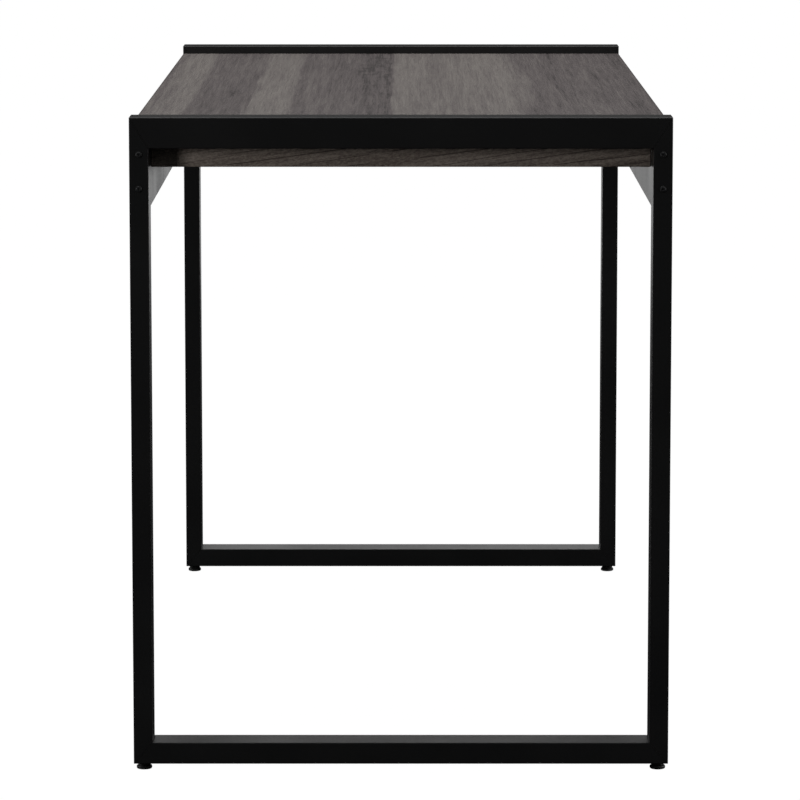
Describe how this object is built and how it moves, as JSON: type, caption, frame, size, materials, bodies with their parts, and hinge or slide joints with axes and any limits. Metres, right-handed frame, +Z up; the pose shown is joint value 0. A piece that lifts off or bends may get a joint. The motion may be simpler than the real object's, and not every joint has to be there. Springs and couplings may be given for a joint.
{
  "type": "computer desk with keyboard tray",
  "caption": "Writing desk on two rectangular steel tube end frames, with a woodgrain top between raised end rails and a keyboard tray on ball bearing slides.",
  "frame": {"origin": "on the floor, under the middle of the desk's outline", "axes": "+X along the desk's length, -Y towards the person who sits at it, +Z up"},
  "size_m": [1.355, 0.611, 0.75],
  "materials": {
    "powder_coated_steel": "satin black powder coat",
    "woodgrain_laminate": "grey-brown oak-look laminate with a light texture",
    "foot_plastic": "black moulded plastic",
    "insert_plastic": "black moulded plastic",
    "zinc_plated_steel": "bright zinc plating",
    "black_oxide_steel": "black oxide, lightly oiled"
  },
  "bodies": {
    "desk": {"desktop": "woodgrain_laminate", "desktop_edge_band_front": "woodgrain_laminate", "desktop_edge_band_rear": "woodgrain_laminate", "front_strap": "powder_coated_steel", "left_bottom_rail": "powder_coated_steel", "left_crossbar": "powder_coated_steel", "left_crossbar_screw_front": "zinc_plated_steel", "left_crossbar_screw_rear": "zinc_plated_steel", "left_end_board": "woodgrain_laminate", "left_end_board_screw_front": "zinc_plated_steel", "left_end_board_screw_rear": "zinc_plated_steel", "left_front_apron": "powder_coated_steel", "left_front_foot_insert": "insert_plastic", "left_front_leg": "powder_coated_steel", "left_front_lower_bolt": "black_oxide_steel", "left_front_upper_bolt": "black_oxide_steel", "left_hanger_screw_front": "zinc_plated_steel", "left_hanger_screw_rear": "zinc_plated_steel", "left_rear_foot_insert": "insert_plastic", "left_rear_leg": "powder_coated_steel", "left_rear_lower_bolt": "black_oxide_steel", "left_rear_upper_bolt": "black_oxide_steel", "left_slide_hanger": "powder_coated_steel", "left_slide_outer_member": "zinc_plated_steel", "left_top_rail": "powder_coated_steel", "rear_apron": "powder_coated_steel", "right_bottom_rail": "powder_coated_steel", "right_crossbar": "powder_coated_steel", "right_crossbar_screw_front": "zinc_plated_steel", "right_crossbar_screw_rear": "zinc_plated_steel", "right_end_board": "woodgrain_laminate", "right_end_board_screw_front": "zinc_plated_steel", "right_end_board_screw_rear": "zinc_plated_steel", "right_front_apron": "powder_coated_steel", "right_front_foot_insert": "insert_plastic", "right_front_leg": "powder_coated_steel", "right_front_lower_bolt": "black_oxide_steel", "right_front_upper_bolt": "black_oxide_steel", "right_hanger_screw_front": "zinc_plated_steel", "right_hanger_screw_rear": "zinc_plated_steel", "right_rear_foot_insert": "insert_plastic", "right_rear_leg": "powder_coated_steel", "right_rear_lower_bolt": "black_oxide_steel", "right_rear_upper_bolt": "black_oxide_steel", "right_slide_hanger": "powder_coated_steel", "right_slide_outer_member": "zinc_plated_steel", "right_top_rail": "powder_coated_steel"},
    "tray": {"left_slide_inner_member": "zinc_plated_steel", "left_tray_side_rail": "powder_coated_steel", "right_slide_inner_member": "zinc_plated_steel", "right_tray_side_rail": "powder_coated_steel", "tray_board": "woodgrain_laminate", "tray_front_rail": "powder_coated_steel", "tray_rear_stop": "woodgrain_laminate"},
    "left_slide_middle": {"left_slide_middle_member": "zinc_plated_steel"},
    "right_slide_middle": {"right_slide_middle_member": "zinc_plated_steel"},
    "left_front_foot": {"left_front_levelling_foot": "foot_plastic"},
    "left_rear_foot": {"left_rear_levelling_foot": "foot_plastic"},
    "right_front_foot": {"right_front_levelling_foot": "foot_plastic"},
    "right_rear_foot": {"right_rear_levelling_foot": "foot_plastic"}
  },
  "joints": [
    {"name": "tray_slide", "type": "slide", "parent": "desk", "child": "tray", "axis": [0, -1, 0], "range_m": [0, 0.26]},
    {"name": "left_slide_middle_travel", "type": "slide", "parent": "desk", "child": "left_slide_middle", "axis": [0, -1, 0], "range_m": [0, 0.13]},
    {"name": "right_slide_middle_travel", "type": "slide", "parent": "desk", "child": "right_slide_middle", "axis": [0, -1, 0], "range_m": [0, 0.13]},
    {"name": "left_front_foot_level", "type": "slide", "parent": "desk", "child": "left_front_foot", "axis": [0, 0, -1], "range_m": [0, 0.01]},
    {"name": "left_rear_foot_level", "type": "slide", "parent": "desk", "child": "left_rear_foot", "axis": [0, 0, -1], "range_m": [0, 0.01]},
    {"name": "right_front_foot_level", "type": "slide", "parent": "desk", "child": "right_front_foot", "axis": [0, 0, -1], "range_m": [0, 0.01]},
    {"name": "right_rear_foot_level", "type": "slide", "parent": "desk", "child": "right_rear_foot", "axis": [0, 0, -1], "range_m": [0, 0.01]}
  ],
  "couplings": [
    {"joint": "left_slide_middle_travel", "follows": "tray_slide", "ratio": 0.5},
    {"joint": "right_slide_middle_travel", "follows": "tray_slide", "ratio": 0.5}
  ]
}
